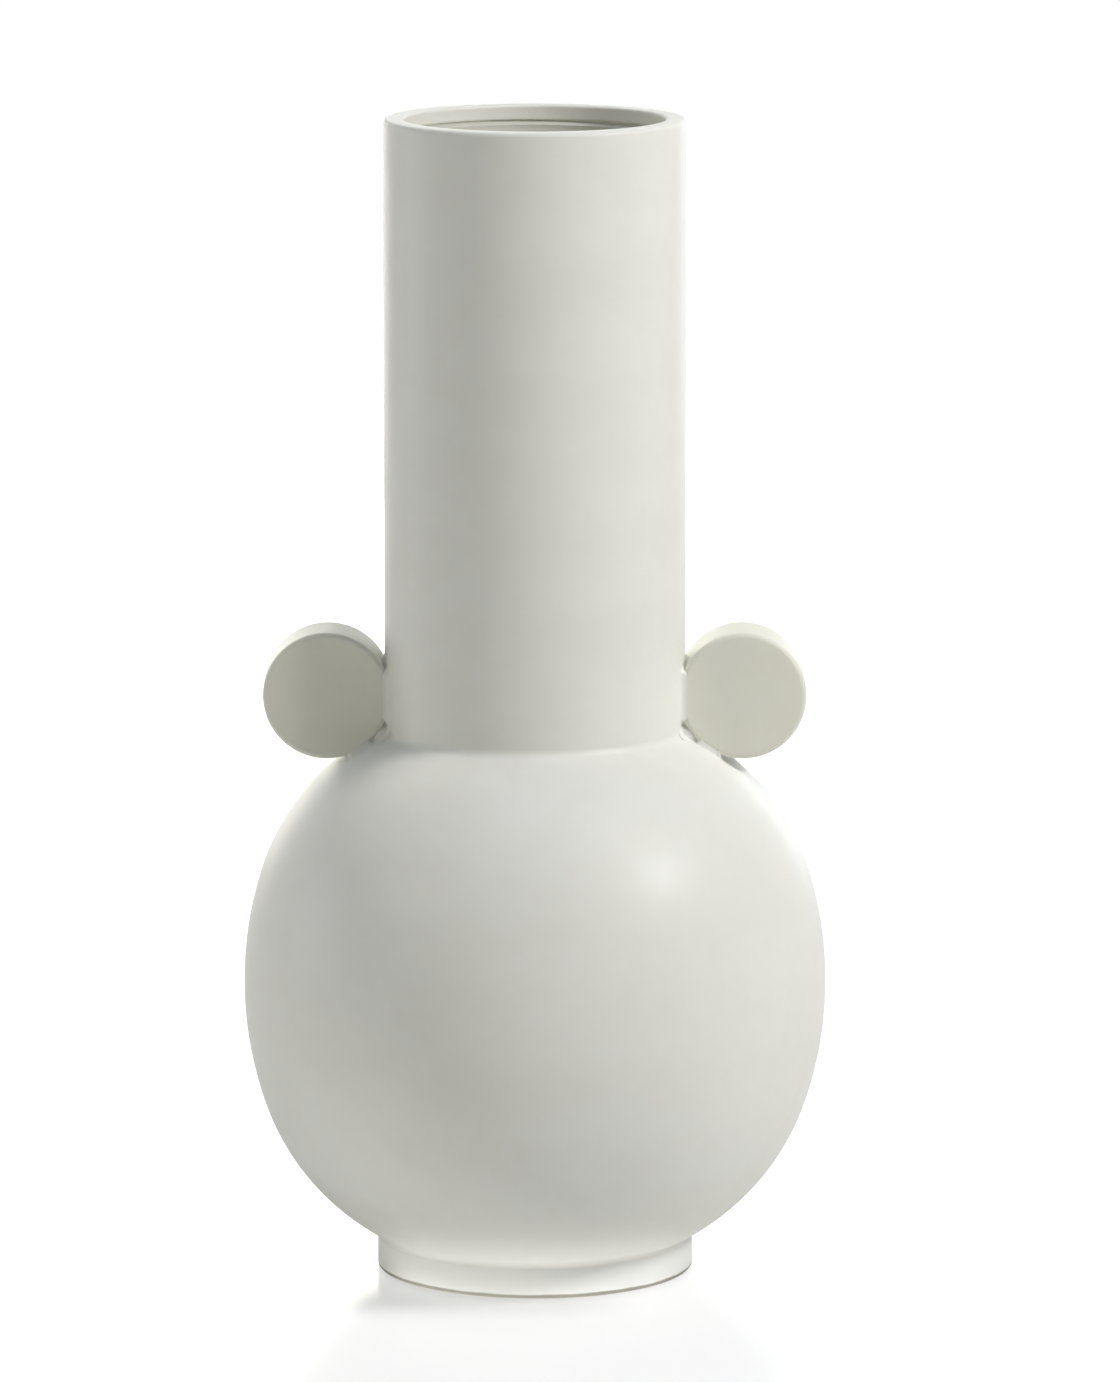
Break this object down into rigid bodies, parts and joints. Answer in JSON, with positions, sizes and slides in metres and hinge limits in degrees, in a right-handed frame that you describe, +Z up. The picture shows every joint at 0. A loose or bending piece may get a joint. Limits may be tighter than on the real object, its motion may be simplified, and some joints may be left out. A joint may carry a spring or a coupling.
{
  "type": "ceramic bud vase",
  "caption": "Tall-necked stoneware bud vase: near-spherical globe on a low foot ring, straight cylindrical neck, thick round disc on each side at the shoulder.",
  "frame": {"origin": "centre of the face that the foot ring stands on", "axes": "+Z up along the vase's axis; the two discs lie along -X and +X, their round faces point to -Y (front) and +Y"},
  "size_m": [0.16, 0.16, 0.318],
  "materials": {
    "satin_glaze": "satin off-white glaze over stoneware",
    "foot_glaze": "the same satin glaze, wiped back to bare clay where the ring stands",
    "slip_glaze": "slip fillets under the satin glaze, which pools a little in them",
    "liner_slip": "matt slip ridge inside the globe under a thin wash of glaze"
  },
  "bodies": {
    "root": {"neck_tube": "satin_glaze", "globe_upper_shell": "satin_glaze", "globe_lower_shell": "satin_glaze", "foot_ring": "foot_glaze", "left_disc_lug": "satin_glaze", "right_disc_lug": "satin_glaze", "neck_slip_joint": "slip_glaze", "foot_slip_joint": "slip_glaze", "left_lug_slip_joint": "slip_glaze", "right_lug_slip_joint": "slip_glaze", "equator_slip_seam": "liner_slip"}
  },
  "joints": []
}
